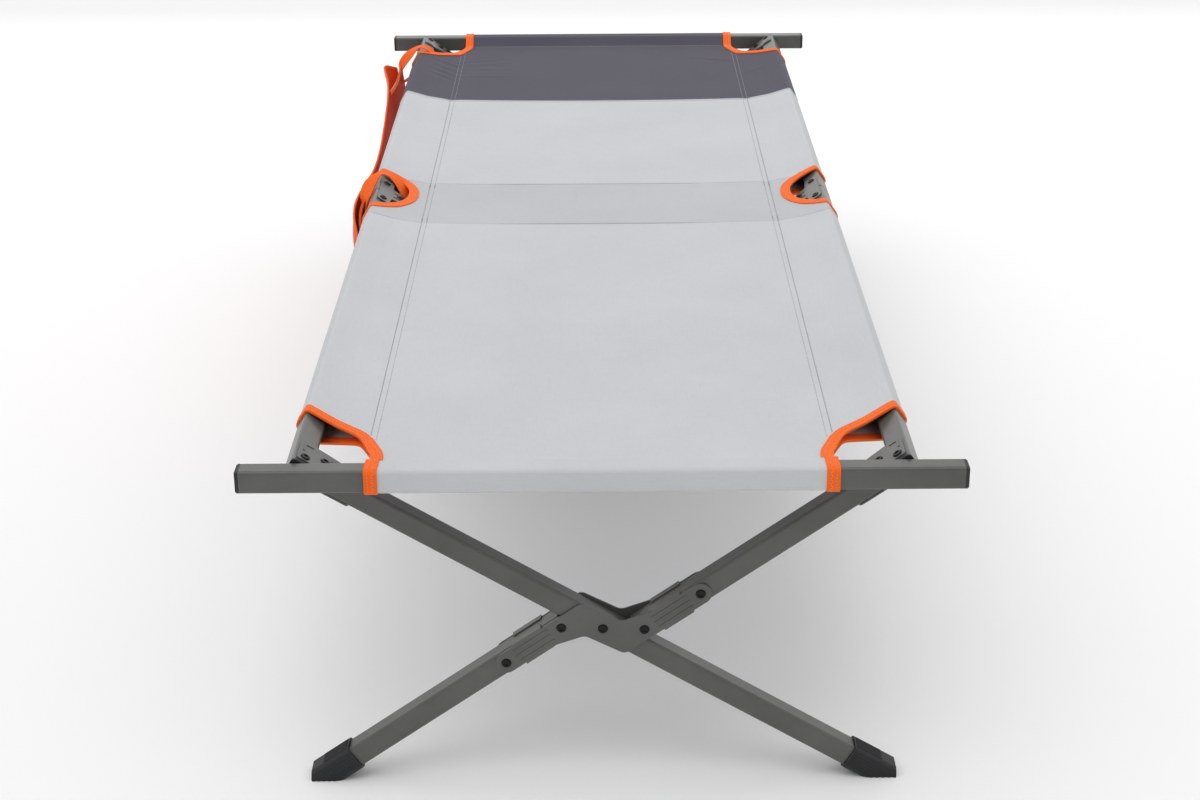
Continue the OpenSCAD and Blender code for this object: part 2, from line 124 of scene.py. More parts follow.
def fillet(points, steps=5):
    """Points [(x, y, radius)] of an open path as a list of [x, y], with its corners rounded."""
    out = []
    for i, (x, y, r) in enumerate(points):
        b = np.array([x, y], float)
        if r <= 0 or i in (0, len(points) - 1):
            out.append(b)
            continue
        a, c = np.array(points[i - 1][:2]), np.array(points[i + 1][:2])
        u, v = (a - b) / np.linalg.norm(a - b), (c - b) / np.linalg.norm(c - b)
        half_turn = math.acos(max(-1, min(1, float(u @ v)))) / 2
        run = r / math.tan(half_turn)
        mid = b + (u + v) / np.linalg.norm(u + v) * r / math.sin(half_turn)
        start, end = b + u * run - mid, b + v * run - mid
        sweep = math.acos(max(-1, min(1, float(start @ end) / r / r)))
        for k in range(steps + 1):
            t = k / steps
            bend = start * math.sin(sweep * (1 - t)) + end * math.sin(sweep * t)
            out.append(mid + bend / math.sin(sweep))
    return out


def spaced(points, step):
    """The path with its long straights divided to about the step."""
    out = [points[0]]
    for a, b in zip(points, points[1:]):
        n = max(1, round(float(np.linalg.norm(b - a)) / step))
        out += [a + (b - a) * k / n for k in range(1, n + 1)]
    return out


def corner_outline():
    """Edge of a corner cut-out, as (distance from the middle plane, distance in from the bar)."""
    return fillet([
        (247 * MM, -40 * MM, 0), (245 * MM, 52 * MM, 50 * MM), (262 * MM, 98 * MM, 32 * MM),
        (336 * MM, 147 * MM, 0), (420 * MM, 167 * MM, 0),
    ], 8)


def middle_outline():
    """Edge of a middle cut-out, as (distance from the middle plane, y)."""
    return fillet([
        (420 * MM, -90 * MM, 0), (330 * MM, -80 * MM, 36 * MM), (277 * MM, -52 * MM, 78 * MM),
        (277 * MM, 52 * MM, 78 * MM), (330 * MM, 80 * MM, 36 * MM), (420 * MM, 90 * MM, 0),
    ], 10)


def signed_distance(p, line, closing):
    """Distance of points to a line, negative inside the area that it and the closing points bound."""
    best = np.full(len(p), 1e9)
    for a, b in zip(line, line[1:]):
        d = b - a
        t = np.clip(((p - a) @ d) / (d @ d), 0, 1)[:, None]
        best = np.minimum(best, np.linalg.norm(p - (a + t * d), axis=1))
    ring = list(line) + [np.array(c) for c in closing]
    inside = np.zeros(len(p), bool)
    for a, b in zip(ring, ring[1:] + ring[:1]):
        crosses = (a[1] > p[:, 1]) != (b[1] > p[:, 1])
        rise = b[1] - a[1] if b[1] != a[1] else 1e-12
        inside ^= crosses & (p[:, 0] < a[0] + (p[:, 1] - a[1]) * (b[0] - a[0]) / rise)
    return np.where(inside, -best, best)


CORNER_LINE, MIDDLE_LINE = corner_outline(), middle_outline()


def cut_distance(points):
    """How far each point is, seen from above, from the nearest cut-out's edge; negative inside."""
    p = np.asarray(points, float).reshape(-1, 3)
    across = np.abs(p[:, 0])
    corner = signed_distance(np.stack([across, BAR_Y - np.abs(p[:, 1])], 1), CORNER_LINE, [(0.42, -0.04)])
    middle = signed_distance(np.stack([across, p[:, 1]], 1), MIDDLE_LINE, [])
    return np.minimum(corner, middle)


def leg_distance(points):
    """How far a point of the cloth's lower layer is from the passage of the middle legs; 1 elsewhere."""
    p = np.asarray(points, float).reshape(-1, 3)
    away = np.maximum(np.abs(p[:, 1]) - LEG_PASSAGE, SEAM_X + 6 * MM - np.abs(p[:, 0]))
    return np.where(p[:, 2] < RAIL_Z - MM, away, 1.0)


# ------------------------------------------------------------ the deck's surface


def rail_path(side, tilt):
    """Section of the deck from a sleeve seam, over the rail's ridge and back to the seam underneath."""
    h = HALF + CLOTH_GAP
    cos, sin = math.cos(tilt), math.sin(tilt)

    def at(a, b):
        return RAIL_X + (a * cos - b * sin) * h, RAIL_Z + (a * sin + b * cos) * h

    top, outer, lower = at(1, 1), at(1, -1), at(-1, -1)
    sag = ((SEAM_X + top[0]) / 2, (PANEL_Z + top[1]) / 2 - 2.2 * MM)
    path = fillet([
        (SEAM_X, PANEL_Z, 0), (*sag, 80 * MM), (*top, CORNER_R), (*outer, CORNER_R), (*lower, CORNER_R),
        (SEAM_X - SEAM_STEP, PANEL_Z - 1.6 * MM, 0),
    ])
    return [(side * x, z) for x, z in spaced(path, GRID)]


def panel_stations():
    n = round(2 * SEAM_X / GRID)
    return [-SEAM_X + 2 * SEAM_X * k / n for k in range(1, n)]


def bar_path():
    """Section of the deck round the end bar, as (y outward from the middle, z)."""
    h = HALF + CLOTH_GAP
    inner = BAR_Y - HALF - BAR_SEAM
    path = fillet([
        (inner, PANEL_Z, 0), (BAR_Y - h, RAIL_Z + h, CORNER_R + 2 * MM), (BAR_Y + h, RAIL_Z + h, CORNER_R),
        (BAR_Y + h, RAIL_Z - h, CORNER_R), (BAR_Y - h, RAIL_Z - h, CORNER_R), (inner, PANEL_Z - 1.6 * MM, 0),
    ])
    return [tuple(p) for p in spaced(path, 6 * MM)]


def wave_table(seed, count=5):
    r = random.Random(seed)
    return [(r.uniform(-1, 1), r.uniform(-1, 1), r.uniform(0, math.tau)) for _ in range(count)]


WAVES = {seed: wave_table(seed) for seed in (3, 5, 8)}


def wave(x, y, seed, size):
    """A smooth random height from -1 to 1 over the plane, the same each run."""
    table = WAVES[seed]
    return sum(np.sin((a * x + b * y) * math.tau / size + c) for a, b, c in table) / len(table)


# Centre y in metres and height in millimetres of the short folds beside the left head corner
LEFT_PUCKERS = ((0.81, 1.7), (0.775, 1.4), (0.742, 2.1), (0.712, 1.8), (0.683, 1.1))
# Folds in the cloth: centre x and y, direction in degrees, length, and height in millimetres
FOLDS = [(-0.276, y, -38, 0.034, h) for y, h in LEFT_PUCKERS]
FOLDS += [(-0.205, y, a, 0.05, 0.9) for y, a in ((0.835, 22), (0.805, 12), (0.77, 4), (0.72, 0))]
FOLDS += [(0.215, 0.83, 160, 0.05, 0.8), (0.285, 0.74, 215, 0.03, 0.7), (0.29, 0.70, 210, 0.03, 0.3)]
FOLDS += [(s * 0.225, -0.86, 90 + s * 40, 0.04, 0.6) for s in (-1, 1)]
FOLDS += [(s * 0.262, y, 90 - s * 14, 0.05, 0.5) for s in (-1, 1) for y in (-0.12, 0.125)]
FOLD_WIDTH = 5 * MM
HOLLOW = 3.5 * MM
RIPPLE, RIPPLE_SIZE = 0.5 * MM, 0.35
SEWN_DIP, SEWN_WIDTH = 0.5 * MM, 2.6 * MM
PUCKER, PUCKER_REACH, PUCKER_TURN = 0.25 * MM, 9 * MM, 520
DOUBLE_LIFT = 0.35 * MM


def drape(x, y, top):
    """Hollows, puckers and folds of the tight cloth at points of its flat or top side."""
    side = np.minimum(1.0, np.abs(x) / SEAM_X)
    lengthwise = max(0.0, 1 - (abs(y) / (BAR_Y - 60 * MM)) ** 4)
    lift = -HOLLOW * (1 - side ** 2) * lengthwise
    lift = lift + RIPPLE * wave(x, y, 3, RIPPLE_SIZE) * lengthwise
    for row in SIDE_ROWS:
        lift -= SEWN_DIP * np.exp(-((np.abs(x) - row) / SEWN_WIDTH) ** 2)
        lift += PUCKER * math.sin(y * PUCKER_TURN) * np.exp(-((np.abs(x) - row) / PUCKER_REACH) ** 2)
    for edge in (*DOUBLE_BAND, -SLEEVE_ROW, SLEEVE_ROW):
        lift -= SEWN_DIP * math.exp(-((y - edge) / (3 * MM)) ** 2)
    if DOUBLE_BAND[0] < y < DOUBLE_BAND[1]:
        lift += DOUBLE_LIFT
    for cx, cy, degrees, length, height in FOLDS:
        angle = math.radians(degrees)
        along = (x - cx) * math.cos(angle) + (y - cy) * math.sin(angle)
        across = (y - cy) * math.cos(angle) - (x - cx) * math.sin(angle)
        ridge = np.exp(-(across / FOLD_WIDTH) ** 2)
        ridge -= 0.6 * np.exp(-((across - 2 * FOLD_WIDTH) / FOLD_WIDTH) ** 2)
        lift += height * MM * np.exp(-(along / length) ** 2) * ridge
    return lift * top


def deck_section():
    """The deck's section from its left lower seam to its right one: x, z, and how much it drapes."""
    left, right = rail_path(-1, STRAIGHT_TILT)[::-1], rail_path(1, Z_TILT)
    x, z = np.array(left + [(x, PANEL_Z) for x in panel_stations()] + right).T
    flat = np.arange(len(left) - 1, len(left) + len(panel_stations()) + 1)
    loose = np.array([rail_fade(a, b) for a, b in zip(x, z)])
    loose[flat] = 1.0
    return x, z, loose, flat


def deck_rows(y_from, y_to, foot_wrap, head_wrap):
    """Rows of the deck as (y, z of a bar sleeve's row, or None on the open deck)."""
    rows = [(-y, z) for y, z in bar_path()[:0:-1]] if foot_wrap else []
    n = max(1, round((y_to - y_from) / GRID))
    rows += [(y_from + (y_to - y_from) * k / n, None) for k in range(n + 1)]
    return rows + (bar_path()[1:] if head_wrap else [])


def deck_grid(y_from, y_to, foot_wrap, head_wrap):
    """A bmesh of the deck's middle surface between two y values, with the bar sleeves that are asked for."""
    x, z, loose, flat = deck_section()
    bm = bmesh.new()
    grid = []
    for y, sleeve_z in deck_rows(y_from, y_to, foot_wrap, head_wrap):
        if sleeve_z is None:
            heights = z + drape(x, y, loose)
            grid.append([bm.verts.new((a, y, h)) for a, h in zip(x, heights)])
        else:
            line = [None] * len(x)
            for k in flat:
                line[k] = bm.verts.new((x[k], y, sleeve_z))
            grid.append(line)
    for a, b in zip(grid, grid[1:]):
        for k in range(len(x) - 1):
            corners = (a[k], a[k + 1], b[k + 1], b[k])
            if None not in corners:
                bm.faces.new(corners)
    return bm


def rail_fade(x, z):
    """1 on the strip between the seam and the rail, falling to 0 on the rail itself."""
    edge = RAIL_X - 14 * MM
    start = 30 * MM
    return max(0.0, min(1.0, (edge - abs(x)) / start)) if z > RAIL_Z - 2 * MM else 0.0


def split_along(bm, field):
    """Cuts the mesh's faces along field = 0 and returns each vertex's value."""
    value = dict(zip(bm.verts, field([v.co[:] for v in bm.verts]).tolist()))
    for e in list(bm.edges):
        a, b = e.verts
        fa, fb = value[a], value[b]
        if (fa < 0) == (fb < 0) or fa == 0 or fb == 0:
            continue
        _, v = bmesh.utils.edge_split(e, a, fa / (fa - fb))
        value[v] = 0.0
    for f in list(bm.faces):
        on = [v for v in f.verts if value[v] == 0.0]
        if len(on) == 2 and not any(on[0] in e.verts and on[1] in e.verts for e in f.edges):
            bmesh.utils.face_split(f, on[0], on[1])
    return value


def clip(bm, field):
    """Cuts the mesh along field = 0 and keeps the side where the field is positive."""
    value = split_along(bm, field)
    gone = [f for f in bm.faces if sum(value[v] for v in f.verts) < 0]
    bmesh.ops.delete(bm, geom=gone, context="FACES")


def contours(bm, field):
    """The lines on the mesh where the field is 0, as lists of (point, normal)."""
    value = split_along(bm, field)
    bm.normal_update()
    bm.verts.index_update()
    bm.verts.ensure_lookup_table()
    on = [v.index for v in bm.verts if value[v] == 0.0]
    chosen = set(on)
    links = {i: [e.other_vert(bm.verts[i]).index for e in bm.verts[i].link_edges] for i in on}
    links = {i: [j for j in near if j in chosen] for i, near in links.items()}
    lines = []
    for start in sorted(on, key=lambda i: (len(links[i]) != 1, i)):
        if start not in chosen:
            continue
        line, here = [], start
        while here is not None:
            chosen.discard(here)
            line.append((np.array(bm.verts[here].co), np.array(bm.verts[here].normal)))
            here = next((j for j in links[here] if j in chosen), None)
        if len(line) > 3:
            lines.append(line)
    return lines


def spline(points, per_span):
    """A smooth curve (Catmull-Rom) through the points."""
    p = np.array([points[0], *points, points[-1]], float)
    out = []
    for a, b, c, d in zip(p, p[1:], p[2:], p[3:]):
        for k in range(per_span):
            t = k / per_span
            out.append(b + 0.5 * t * (c - a + t * (2 * a - 5 * b + 4 * c - d + t * (3 * (b - c) + d - a))))
    return np.array(out + [p[-1]])


def make_object(name, bm, material, smooth=True):
    mesh = bpy.data.meshes.new(name)
    bm.to_mesh(mesh)
    bm.free()
    obj = bpy.data.objects.new(name, mesh)
    bpy.context.scene.collection.objects.link(obj)
    if smooth:
        mesh.polygons.foreach_set("use_smooth", [True] * len(mesh.polygons))
    mesh.materials.append(material)
    return obj


def apply_modifiers(obj):
    bpy.context.view_layer.update()
    done = bpy.data.meshes.new_from_object(obj.evaluated_get(bpy.context.evaluated_depsgraph_get()))
    obj.modifiers.clear()
    obj.data = done
    return obj


def thicken(obj, thickness, offset=0.0):
    m = obj.modifiers.new("cloth", "SOLIDIFY")
    m.thickness, m.offset, m.use_even_offset = thickness, offset, True
    apply_modifiers(obj)
    obj.data.polygons.foreach_set("use_smooth", [True] * len(obj.data.polygons))
    sharp_edges(obj)
    return obj


def sharp_edges(obj, degrees=40):
    bm = bmesh.new()
    bm.from_mesh(obj.data)
    for e in bm.edges:
        e.smooth = len(e.link_faces) == 2 and e.calc_face_angle(0) < math.radians(degrees)
    bm.to_mesh(obj.data)
    bm.free()


# ------------------------------------------------------------ materials


def new_material(name):
    m = bpy.data.materials.new(name)
    m.use_nodes = True
    nodes, links = m.node_tree.nodes, m.node_tree.links
    return m, nodes, links, nodes["Principled BSDF"]


def add(nodes, kind, **values):
    n = nodes.new(kind)
    for key, value in values.items():
        if key in n.inputs:
            n.inputs[key].default_value = value
        else:
            setattr(n, key, value)
    return n


def mix_colours(nodes, links, factor, a, b):
    n = nodes.new("ShaderNodeMix")
    n.data_type = "RGBA"
    links.new(factor, n.inputs["Factor"])
    for socket, c in ((n.inputs["A"], a), (n.inputs["B"], b)):
        if hasattr(c, "is_output"):
            links.new(c, socket)
        else:
            socket.default_value = (*c, 1)
    return n.outputs["Result"]


def coated_steel(name, dark, light, rough, gloss=0.5):
    """Powder coat: a fine orange-peel bump and faint scuffed patches."""
    m, nodes, links, shader = new_material(name)
    place = nodes.new("ShaderNodeTexCoord").outputs["Object"]
    cloud = add(nodes, "ShaderNodeTexNoise", Scale=14.0, Detail=5.0, Roughness=0.6)
    speck = add(nodes, "ShaderNodeTexNoise", Scale=900.0, Detail=2.0, Roughness=0.5)
    for t in (cloud, speck):
        links.new(place, t.inputs["Vector"])
    ramp = nodes.new("ShaderNodeValToRGB")
    ramp.color_ramp.elements[0].position, ramp.color_ramp.elements[1].position = 0.3, 0.72
    links.new(cloud.outputs["Fac"], ramp.inputs["Fac"])
    links.new(mix_colours(nodes, links, ramp.outputs["Color"], dark, light), shader.inputs["Base Color"])
    spread = add(nodes, "ShaderNodeMapRange")
    spread.inputs["To Min"].default_value, spread.inputs["To Max"].default_value = rough - 0.06, rough + 0.1
    links.new(speck.outputs["Fac"], spread.inputs["Value"])
    links.new(spread.outputs["Result"], shader.inputs["Roughness"])
    bump = add(nodes, "ShaderNodeBump", Strength=0.22, Distance=0.0003)
    links.new(speck.outputs["Fac"], bump.inputs["Height"])
    links.new(bump.outputs["Normal"], shader.inputs["Normal"])
    shader.inputs["Specular IOR Level"].default_value = gloss
    return m


def moulded_plastic(name, dark, light):
    """Black plastic with a fine spark-eroded grain and worn, paler patches."""
    m, nodes, links, shader = new_material(name)
    place = nodes.new("ShaderNodeTexCoord").outputs["Object"]
    grain = add(nodes, "ShaderNodeTexVoronoi", Scale=1400.0)
    cloud = add(nodes, "ShaderNodeTexNoise", Scale=45.0, Detail=6.0, Roughness=0.65)
    for t in (grain, cloud):
        links.new(place, t.inputs["Vector"])
    links.new(mix_colours(nodes, links, cloud.outputs["Fac"], dark, light), shader.inputs["Base Color"])
    bump = add(nodes, "ShaderNodeBump", Strength=0.3, Distance=0.0002)
    links.new(grain.outputs["Distance"], bump.inputs["Height"])
    links.new(bump.outputs["Normal"], shader.inputs["Normal"])
    shader.inputs["Roughness"].default_value = 0.5
    return m


def woven(name, dark, light, pitch, rough, sheen, darker_band=None, depth=0.5, gloss=0.3):
    """Plain-weave cloth: threads both ways, thread-to-thread colour variation and faint blotches."""
    m, nodes, links, shader = new_material(name)
    place = nodes.new("ShaderNodeTexCoord").outputs["Object"]
    threads = []
    for direction in ("X", "Y"):
        t = add(nodes, "ShaderNodeTexWave", Scale=1 / pitch / 3.2, Distortion=0.7, Detail=1.0)
        t.bands_direction = direction
        t.inputs["Detail Scale"].default_value = 2.0
        links.new(place, t.inputs["Vector"])
        threads.append(t.outputs["Fac"])
    weave = add(nodes, "ShaderNodeMath", operation="MULTIPLY")
    links.new(threads[0], weave.inputs[0])
    links.new(threads[1], weave.inputs[1])
    stretch = []
    for scale in ((60, 900, 900), (900, 60, 900)):
        fit = add(nodes, "ShaderNodeMapping")
        fit.inputs["Scale"].default_value = scale
        links.new(place, fit.inputs["Vector"])
        noise = add(nodes, "ShaderNodeTexNoise", Scale=1.0, Detail=2.0)
        links.new(fit.outputs["Vector"], noise.inputs["Vector"])
        stretch.append(noise.outputs["Fac"])
    slub = add(nodes, "ShaderNodeMath", operation="ADD")
    links.new(stretch[0], slub.inputs[0])
    links.new(stretch[1], slub.inputs[1])
    cloud = add(nodes, "ShaderNodeTexNoise", Scale=7.0, Detail=4.0, Roughness=0.55)
    links.new(place, cloud.inputs["Vector"])
    blend = add(nodes, "ShaderNodeMath", operation="MULTIPLY_ADD")
    blend.inputs[1].default_value, blend.inputs[2].default_value = 0.55, -0.28
    links.new(slub.outputs[0], blend.inputs[0])
    both = add(nodes, "ShaderNodeMath", operation="ADD", use_clamp=True)
    links.new(blend.outputs[0], both.inputs[0])
    shift = add(nodes, "ShaderNodeMath", operation="MULTIPLY_ADD")
    shift.inputs[1].default_value, shift.inputs[2].default_value = 0.8, -0.15
    links.new(cloud.outputs["Fac"], shift.inputs[0])
    links.new(shift.outputs[0], both.inputs[1])
    colour = mix_colours(nodes, links, both.outputs[0], dark, light)
    if darker_band:
        colour = band_tint(nodes, links, place, colour, *darker_band)
    links.new(colour, shader.inputs["Base Color"])
    height = add(nodes, "ShaderNodeMath", operation="MULTIPLY_ADD")
    height.inputs[1].default_value = 0.6
    links.new(slub.outputs[0], height.inputs[0])
    links.new(weave.outputs[0], height.inputs[2])
    bump = add(nodes, "ShaderNodeBump", Strength=depth, Distance=0.0003)
    links.new(height.outputs[0], bump.inputs["Height"])
    links.new(bump.outputs["Normal"], shader.inputs["Normal"])
    shader.inputs["Roughness"].default_value = rough
    shader.inputs["Sheen Weight"].default_value = sheen
    shader.inputs["Sheen Roughness"].default_value = 0.4
    shader.inputs["Specular IOR Level"].default_value = gloss
    return m


def band_tint(nodes, links, place, colour, low, high, tint):
    """Multiplies the colour between two y values, where the cloth is double."""
    split = nodes.new("ShaderNodeSeparateXYZ")
    links.new(place, split.inputs[0])
    above = add(nodes, "ShaderNodeMath", operation="GREATER_THAN")
    below = add(nodes, "ShaderNodeMath", operation="LESS_THAN")
    above.inputs[1].default_value, below.inputs[1].default_value = low, high
    inside = add(nodes, "ShaderNodeMath", operation="MULTIPLY")
    for k, test in enumerate((above, below)):
        links.new(split.outputs["Y"], test.inputs[0])
        links.new(test.outputs[0], inside.inputs[k])
    n = nodes.new("ShaderNodeMix")
    n.data_type, n.blend_type = "RGBA", "MULTIPLY"
    links.new(inside.outputs[0], n.inputs["Factor"])
    links.new(colour, n.inputs["A"])
    n.inputs["B"].default_value = (*tint, 1)
    return n.outputs["Result"]


STEEL = coated_steel("powder_coat", (0.076, 0.077, 0.072), (0.108, 0.109, 0.102), 0.31)
RIVET = coated_steel("black_rivet", (0.002, 0.002, 0.002), (0.006, 0.006, 0.006), 0.34, 0.25)
PLASTIC = moulded_plastic("black_plastic", (0.007, 0.008, 0.009), (0.016, 0.017, 0.019))
DECK = woven("deck_cloth", (0.52, 0.53, 0.55), (0.62, 0.63, 0.65), 1.1 * MM, 0.78, 0.1,
             (*DOUBLE_BAND, (0.9, 0.9, 0.905)))
BAND = woven("band_cloth", (0.068, 0.063, 0.085), (0.096, 0.09, 0.12), 1.0 * MM, 0.72, 0.08, gloss=0.15)
ORANGE = woven("pouch_cloth", (0.8, 0.085, 0.012), (0.95, 0.125, 0.02), 1.0 * MM, 0.62, 0.03, gloss=0.12)
TAPE_CLOTH = woven("binding_tape", (0.92, 0.12, 0.012), (1.0, 0.18, 0.024), 1.6 * MM, 0.66, 0.03, depth=0.8,
                   gloss=0.15)
HEM = woven("pouch_hem", (0.9, 0.13, 0.016), (1.0, 0.19, 0.03), 1.0 * MM, 0.6, 0.03, gloss=0.12)
# Darker red copy of the pouch cloth for the pouch's cot-side wall: painted shade, since that wall lies in shade
# beside the deck.
SHADE_WALL_CLOTH = woven("pouch_shade_painted", (0.45, 0.022, 0.004), (0.6, 0.038, 0.007), 1.0 * MM, 0.75, 0.0, gloss=0.08)
WEBBING = woven("webbing", (0.9, 0.12, 0.014), (1.0, 0.18, 0.028), 1.8 * MM, 0.62, 0.03, depth=0.9,
                gloss=0.12)
GREY_THREAD = woven("grey_thread", (0.34, 0.34, 0.36), (0.42, 0.42, 0.44), 0.4 * MM, 0.7, 0.05)
ORANGE_THREAD = woven("orange_thread", (1.0, 0.26, 0.07), (1.0, 0.36, 0.12), 0.4 * MM, 0.6, 0.05)

for spec in frame["record"]["subparts"]:
    node = frame["nodes"][spec["node"]]
    finish = {"grey_frame": STEEL, "black_rivet": RIVET, "black_plastic": PLASTIC}.get(spec["material_slot"])
    if finish:
        node.data.materials.clear()
        node.data.materials.append(finish)

# ------------------------------------------------------------ camera, floor and light


def set_camera():
    """Looks along the cot from beyond its foot end, as the photograph does."""
    cam = bpy.data.cameras.new("camera")
    cam.lens = 65.2
    cam.sensor_width = 36
    obj = bpy.data.objects.new("camera", cam)
    bpy.context.scene.collection.objects.link(obj)
    place = Matrix.Translation((-0.0015, -BAR_Y - 2.0537, RAIL_Z + 0.938))
    down, roll = math.radians(22.54), math.radians(-0.39)
    obj.matrix_world = place @ Matrix.Rotation(math.pi / 2 - down, 4, "X") @ Matrix.Rotation(roll, 4, "Z")
    bpy.context.scene.camera = obj


def set_stage():
    bm = bmesh.new()
    bmesh.ops.create_grid(bm, x_segments=1, y_segments=1, size=30)
    floor_material, _, _, shader = new_material("floor")
    shader.inputs["Base Color"].default_value = (0.93, 0.93, 0.93, 1)
    shader.inputs["Roughness"].default_value = 0.9
    make_object("floor", bm, floor_material, smooth=False)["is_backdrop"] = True
    world = bpy.data.worlds.new("world")
    bpy.context.scene.world = world
    world.use_nodes = True
    back = world.node_tree.nodes["Background"]
    back.inputs["Color"].default_value = (1, 1, 1, 1)
    back.inputs["Strength"].default_value = 0.42
    for name, spot, strength in (("key", (-1.6, -0.5, 4.0), 1.3), ("fill", (2.0, -0.4, 3.6), 0.75)):
        light = bpy.data.lights.new(name, "SUN")
        light.energy, light.angle = strength, math.radians(75)
        obj = bpy.data.objects.new(name, light)
        obj.location = spot
        obj.rotation_euler = (-Vector(spot)).to_track_quat("-Z", "Y").to_euler()
        bpy.context.scene.collection.objects.link(obj)
    light = bpy.data.lights.new("backdrop", "AREA")
    light.shape, light.size, light.size_y, light.energy = "RECTANGLE", 6.0, 2.4, 42
    backdrop = bpy.data.objects.new("backdrop", light)
    backdrop.location = (0, 3.4, 1.75)
    backdrop.rotation_euler = (math.radians(-90 - 12), 0, 0)
    backdrop.visible_camera = False
    bpy.context.scene.collection.objects.link(backdrop)
    bpy.context.scene.view_settings.view_transform = "Standard"


set_camera()
set_stage()

# ------------------------------------------------------------ sewing

# Shares of a stitch's length: the gap at each end, and the taper that follows it
STITCH_GAP, ZIGZAG_GAP, STITCH_TAPER = 0.14, 0.06, 0.2


def resampled(line, pitch):
    """Points and unit normals at equal steps of about the pitch along [(point, normal)]."""
    p, n = (np.array(v) for v in zip(*line))
    s = np.concatenate([[0], np.cumsum(np.linalg.norm(np.diff(p, axis=0), axis=1))])
    at = np.linspace(0, s[-1], max(2, round(s[-1] / pitch) + 1))
    p, n = (np.stack([np.interp(at, s, v[:, k]) for k in range(3)], 1) for v in (p, n))
    return p, n / np.linalg.norm(n, axis=1)[:, None]


def stitches(lines, pitch, lift, radius, zigzag=0.0):
    """Vertices and faces of thread stitches along the lines, to and fro across them for a zigzag."""
    verts, faces = [], []
    for line in lines:
        p, n = resampled(line, pitch)
        along = np.gradient(p, axis=0)
        along /= np.linalg.norm(along, axis=1)[:, None]
        aside = np.cross(n, along)
        swing = np.where(np.arange(len(p)) % 2, 1, -1)[:, None] * zigzag
        p = p + n * lift + aside * swing
        margin = ZIGZAG_GAP if zigzag else STITCH_GAP
        for a, b, up in zip(p, p[1:], n):
            a, b = a + (b - a) * margin, b - (b - a) * margin
            side = np.cross(up, b - a)
            side *= radius / max(1e-9, np.linalg.norm(side))
            ring = [side, up * radius, -side, -up * radius]
            k = len(verts)
            low = up * radius * 0.7
            verts += [a - low] + [a + (b - a) * STITCH_TAPER + r for r in ring]
            verts += [b - (b - a) * STITCH_TAPER + r for r in ring] + [b - low]
            for i in range(4):
                j = (i + 1) % 4
                faces += [(k, k + 1 + j, k + 1 + i), (k + 9, k + 5 + i, k + 5 + j)]
                faces.append((k + 1 + i, k + 1 + j, k + 5 + j, k + 5 + i))
    return verts, faces


def thread(name, sewn, material):
    """One object from several lots of stitches."""
    mesh = bpy.data.meshes.new(name)
    verts, faces = [], []
    for v, f in sewn:
        faces += [tuple(i + len(verts) for i in face) for face in f]
        verts += v
    mesh.from_pydata([tuple(v) for v in verts], [], faces)
    mesh.polygons.foreach_set("use_smooth", [True] * len(mesh.polygons))
    mesh.materials.append(material)
    obj = bpy.data.objects.new(name, mesh)
    bpy.context.scene.collection.objects.link(obj)
    return obj


def panel_line(x, y_from, y_to):
    """A line along the cot on the deck's panel."""
    ys = np.linspace(y_from, y_to, 400)
    up = np.array([0.0, 0.0, 1.0])
    one = np.array([1.0])
    line = [(np.array([x, y, PANEL_Z + drape(np.array([x]), y, one)[0]]), up) for y in ys]
    return [q for q in line if cut_distance(q[0])[0] > TAPE + 2 * MM]


def cross_line(y, reach):
    """A line across the cot over the deck's upper layer, out to the given distance from the middle."""
    x, z, loose, _ = deck_section()
    z = z + drape(x, y, loose)
    dx, dz = np.gradient(x), np.gradient(z)
    size = np.hypot(dx, dz)
    keep = (np.abs(x) <= reach) & (z > RAIL_Z - 1.5 * MM)
    points = np.stack([x, x * 0 + y, z], 1)[keep]
    normals = np.stack([-dz / size, x * 0, dx / size], 1)[keep]
    line = zip(points, normals)
    return [q for q in line if cut_distance(q[0])[0] > TAPE + 1 * MM]


# ------------------------------------------------------------ deck, head band and bindings


def hang_between_rails(obj):
    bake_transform(obj)
    return obj


def area_of(obj):
    """Area of the cloth's middle surface: half of the thin solid's."""
    return sum(p.area for p in obj.data.polygons) / 2


def path_length(path):
    return sum(math.dist(a, b) for a, b in zip(path, path[1:]))


# The right rail's section stands for both
SECTION_LENGTH = 2 * (SEAM_X + path_length(rail_path(1, Z_TILT)))
WRAP_LENGTH = path_length(bar_path())


def cloth_piece(name, y_from, y_to, foot_wrap, head_wrap, material, node):
    bm = deck_grid(y_from, y_to, foot_wrap, head_wrap)
    clip(bm, lambda p: np.minimum(cut_distance(p) - 1.5 * MM, leg_distance(p)))
    obj = thicken(make_object(name, bm, material), CLOTH)
    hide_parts(node)
    area_of(obj)
    return hang_between_rails(obj)


def make_bindings():
    bm = deck_grid(-INNER_Y, INNER_Y, True, True)
    clip(bm, lambda p: np.minimum(cut_distance(p), leg_distance(p)))
    clip(bm, lambda p: TAPE - cut_distance(p))
    obj = thicken(make_object("edge_tape", bm, TAPE_CLOTH), TAPE_THICK, TAPE_SHIFT)
    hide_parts("edge_bindings")
    return hang_between_rails(obj)


def make_tape_stitching():
    """A straight row near the cut edge and a zigzag further in."""
    lines = []
    for inset in TAPE_ROWS:
        bm = deck_grid(-INNER_Y, INNER_Y, True, True)
        clip(bm, leg_distance)
        lines.append(contours(bm, lambda p: cut_distance(p) - inset))
        bm.free()
    sewn = [stitches(lines[0], 3.6 * MM, TAPE_LIFT, 0.42 * MM),
            stitches(lines[1], 3.0 * MM, TAPE_LIFT, 0.46 * MM, zigzag=1.9 * MM)]
    return hang_between_rails(thread("tape_stitching", sewn, ORANGE_THREAD))


